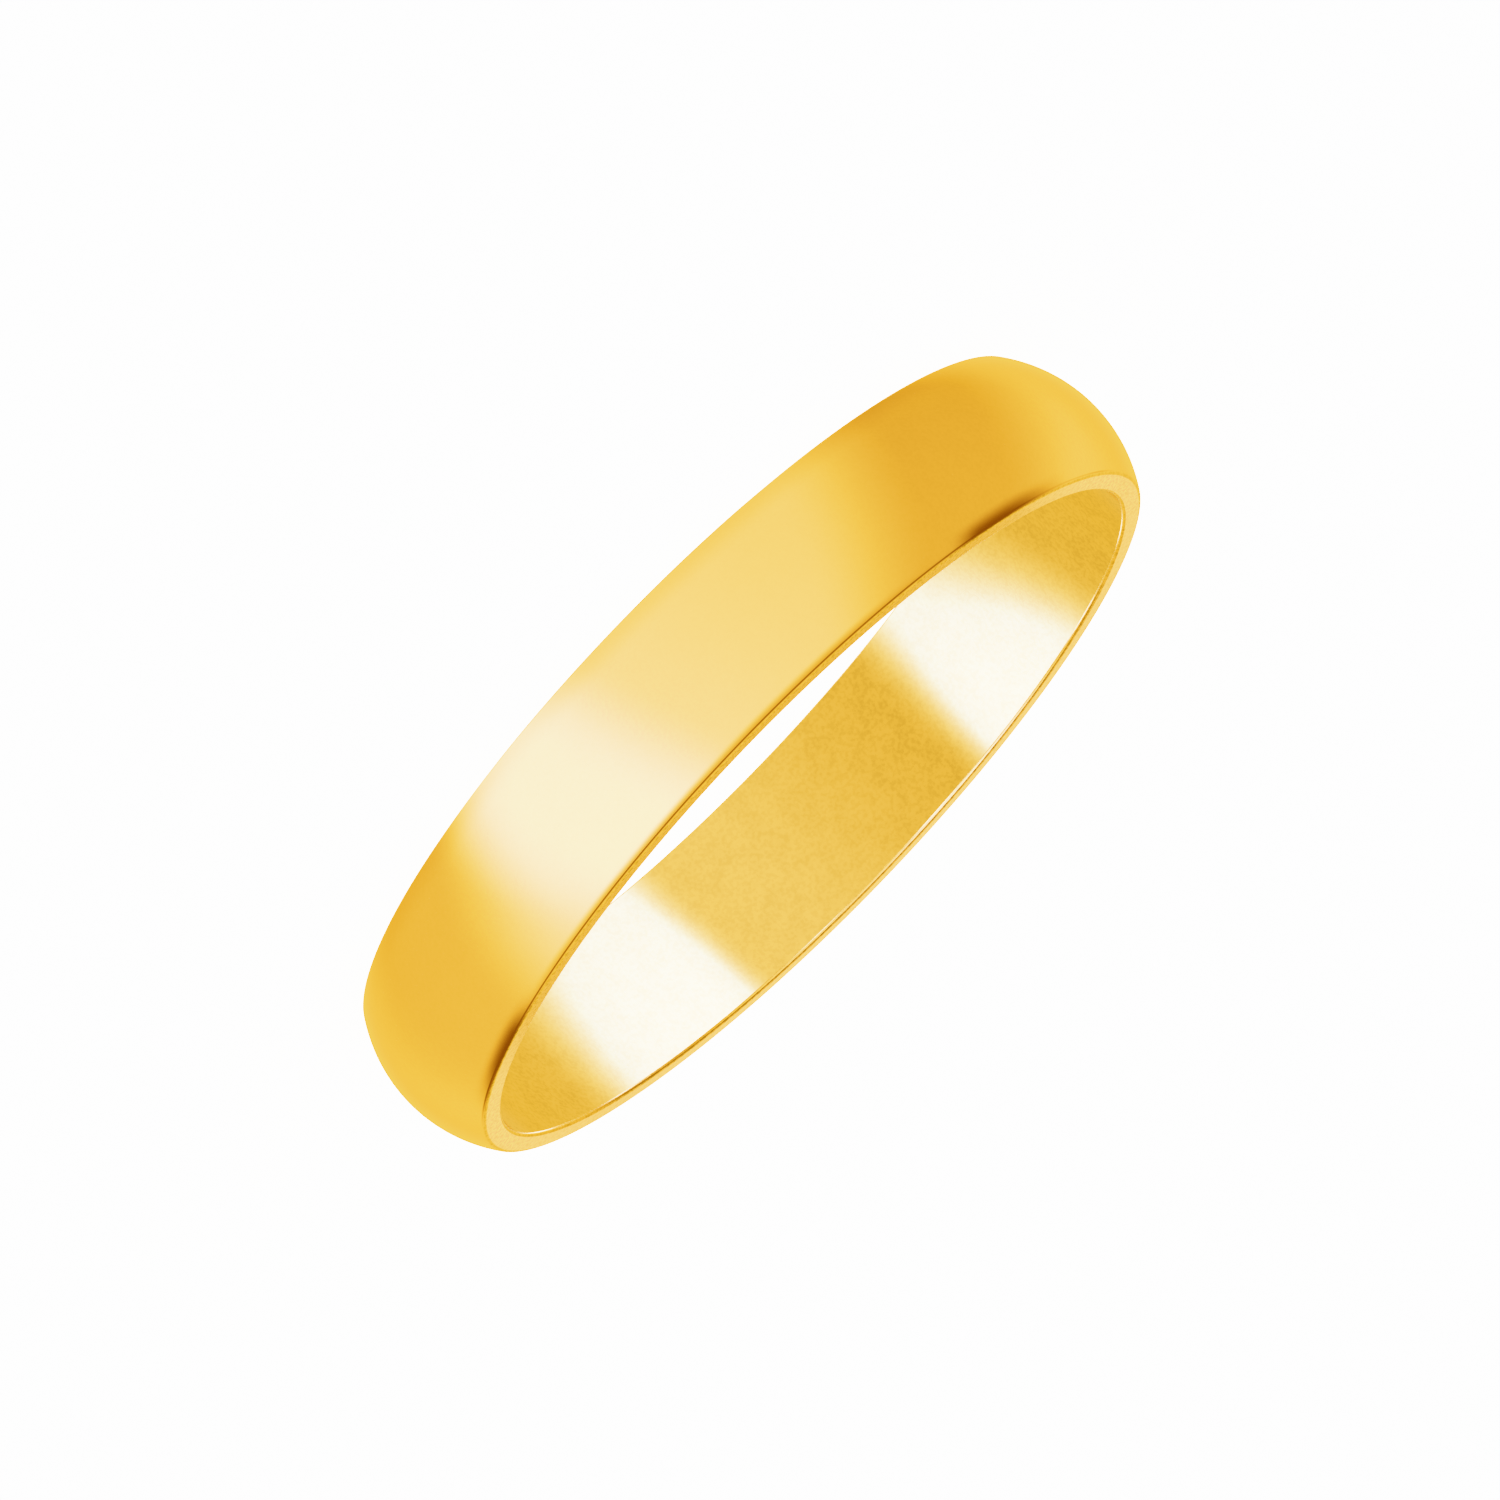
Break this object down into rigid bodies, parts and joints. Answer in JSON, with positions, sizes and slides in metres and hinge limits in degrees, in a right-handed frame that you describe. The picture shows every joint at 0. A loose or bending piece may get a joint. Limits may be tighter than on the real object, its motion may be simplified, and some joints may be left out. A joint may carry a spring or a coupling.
{
  "type": "wedding band",
  "caption": "Plain gold finger ring: a smooth domed outside, a straight polished bore and narrow flat side faces.",
  "frame": {"origin": "on the bore's axis, half way along the band's width", "axes": "+Z along the bore's axis (the finger's axis); the band lies flat on its lower side face, and X and Y are any two radii"},
  "size_m": [0.0226, 0.0226, 0.004],
  "materials": {
    "gold": "mirror polished"
  },
  "bodies": {
    "root": {"band": "gold"}
  },
  "joints": []
}
